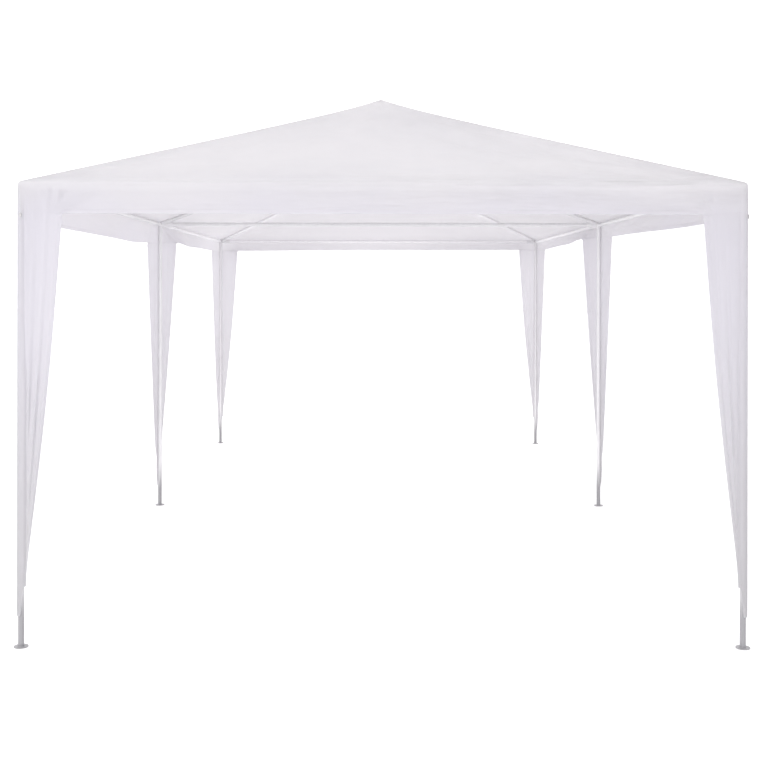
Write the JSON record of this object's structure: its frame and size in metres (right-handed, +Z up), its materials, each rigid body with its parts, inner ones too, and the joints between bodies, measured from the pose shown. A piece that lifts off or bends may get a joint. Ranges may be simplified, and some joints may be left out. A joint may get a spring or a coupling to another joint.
{
  "type": "party tent",
  "caption": "Open party tent with a white hipped cloth roof, a hanging valance and a tapering skirt down each steel leg.",
  "frame": {"origin": "centre of the footprint, on the ground the foot plates stand on", "axes": "+Z up, +Y along the ridge from the front end to the back end, +X to the right seen from the front"},
  "size_m": [3.0214, 6.0214, 2.4712],
  "materials": {
    "frame_steel": "grey, satin",
    "joint_steel": "grey, satin",
    "cloth": "white woven sheet, matt"
  },
  "bodies": {
    "root": {"leg_front_left": "frame_steel", "leg_front_right": "frame_steel", "leg_middle_left": "frame_steel", "leg_middle_right": "frame_steel", "leg_back_left": "frame_steel", "leg_back_right": "frame_steel", "foot_plate_front_left": "frame_steel", "foot_plate_front_right": "frame_steel", "foot_plate_middle_left": "frame_steel", "foot_plate_middle_right": "frame_steel", "foot_plate_back_left": "frame_steel", "foot_plate_back_right": "frame_steel", "eave_tube_front": "frame_steel", "eave_tube_back": "frame_steel", "eave_tube_left_front": "frame_steel", "eave_tube_left_back": "frame_steel", "eave_tube_right_front": "frame_steel", "eave_tube_right_back": "frame_steel", "tie_bar": "frame_steel", "middle_rafter_left": "frame_steel", "middle_rafter_right": "frame_steel", "ridge_tube_front": "frame_steel", "ridge_tube_back": "frame_steel", "hip_rafter_front_left": "frame_steel", "hip_rafter_front_right": "frame_steel", "hip_rafter_back_left": "frame_steel", "hip_rafter_back_right": "frame_steel", "corner_joint_front_left": "joint_steel", "corner_joint_front_right": "joint_steel", "corner_joint_back_left": "joint_steel", "corner_joint_back_right": "joint_steel", "middle_joint_left": "joint_steel", "middle_joint_right": "joint_steel", "ridge_joint_front": "joint_steel", "ridge_joint_middle": "joint_steel", "ridge_joint_back": "joint_steel", "roof_panel_front": "cloth", "roof_panel_back": "cloth", "roof_panel_left": "cloth", "roof_panel_right": "cloth", "valance_front": "cloth", "valance_back": "cloth", "valance_left": "cloth", "valance_right": "cloth", "leg_drape_front_left": "cloth", "leg_drape_front_right": "cloth", "leg_drape_middle_left": "cloth", "leg_drape_middle_right": "cloth", "leg_drape_back_left": "cloth", "leg_drape_back_right": "cloth"}
  },
  "joints": []
}
